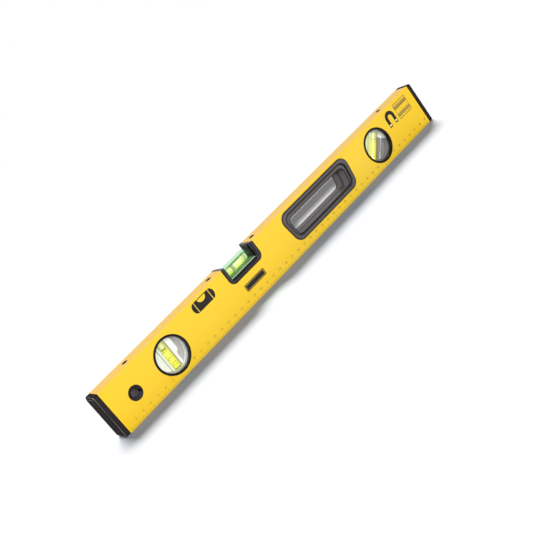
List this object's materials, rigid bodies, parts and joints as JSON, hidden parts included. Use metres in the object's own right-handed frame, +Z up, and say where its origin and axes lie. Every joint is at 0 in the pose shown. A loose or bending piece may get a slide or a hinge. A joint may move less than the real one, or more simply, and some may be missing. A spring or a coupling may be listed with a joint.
{
  "type": "spirit level",
  "caption": "Box-section spirit level with a block vial in the top face, round plumb and diagonal vial windows, a lined hand hole, a hanging hole and base magnets.",
  "frame": {"origin": "middle of the flat base face that the level stands on, half way along and across the body", "axes": "+X along the level, with the plumb vial at -X and the diagonal vial at +X; -Y out of the front face; +Z up from the base face to the top face"},
  "size_m": [0.5, 0.0226, 0.049],
  "materials": {
    "body_paint": "satin yellow powder coat on an aluminium extrusion",
    "cap_plastic": "fine-grained black moulding",
    "grip_plastic": "fine-grained charcoal moulding",
    "frame_plastic": "satin charcoal moulding",
    "inner_plastic": "plain moulding, not seen from outside",
    "white_plastic": "glossy white moulding",
    "grey_plastic": "smooth light grey moulding",
    "clear_acrylic": "polished clear acrylic",
    "block_acrylic": "polished acrylic block",
    "green_liquid": "clear yellow-green liquid",
    "yellow_liquid": "clear yellow liquid",
    "air": "air bubble",
    "line_ink": "black printed line",
    "screw_steel": "blackened steel",
    "magnet_nickel": "nickel plated"
  },
  "bodies": {
    "level": {"body_tube": "body_paint", "left_end_cap": "cap_plastic", "right_end_cap": "cap_plastic", "hand_grip_front": "grip_plastic", "hand_grip_back": "grip_plastic", "hanging_bush_front": "frame_plastic", "hanging_bush_back": "frame_plastic", "top_vial_saddle": "frame_plastic", "top_vial_bracket": "inner_plastic", "top_vial_block": "block_acrylic", "top_vial_plug": "clear_acrylic", "top_vial_liquid": "green_liquid", "top_vial_lines": "line_ink", "top_vial_reflector": "white_plastic", "vial_fixing_screws": "screw_steel", "base_magnets": "magnet_nickel", "magnet_cups": "inner_plastic", "plumb_bezel_front": "frame_plastic", "plumb_bezel_back": "frame_plastic", "plumb_lens_front": "clear_acrylic", "plumb_lens_back": "clear_acrylic", "plumb_carrier": "white_plastic", "plumb_backing": "grey_plastic", "plumb_vial": "clear_acrylic", "plumb_vial_plug": "clear_acrylic", "plumb_liquid": "yellow_liquid", "plumb_lines": "line_ink", "diagonal_bezel_front": "frame_plastic", "diagonal_bezel_back": "frame_plastic", "diagonal_lens_front": "clear_acrylic", "diagonal_lens_back": "clear_acrylic", "diagonal_carrier": "white_plastic", "diagonal_backing": "grey_plastic", "diagonal_vial": "clear_acrylic", "diagonal_vial_plug": "clear_acrylic", "diagonal_liquid": "yellow_liquid", "diagonal_lines": "line_ink"},
    "top_bubble": {"top_vial_bubble": "air"},
    "plumb_air": {"plumb_bubble": "air"},
    "diagonal_air": {"diagonal_bubble": "air"}
  },
  "joints": [
    {"name": "top_bubble_run", "type": "slide", "parent": "level", "child": "top_bubble", "axis": [1, 0, 0], "range_m": [-0.0073, 0.0028], "stiffness_N_per_m": 1, "deforming": ["top_vial_liquid"]},
    {"name": "plumb_bubble_run", "type": "slide", "parent": "level", "child": "plumb_air", "axis": [0, 0, 1], "range_m": [-0.0097, 0], "stiffness_N_per_m": 1, "springref_m": 0.01, "deforming": ["plumb_liquid"]},
    {"name": "diagonal_bubble_run", "type": "slide", "parent": "level", "child": "diagonal_air", "axis": [0.7071, 0, 0.7071], "range_m": [-0.0097, 0], "stiffness_N_per_m": 1, "springref_m": 0.01, "deforming": ["diagonal_liquid"]}
  ]
}
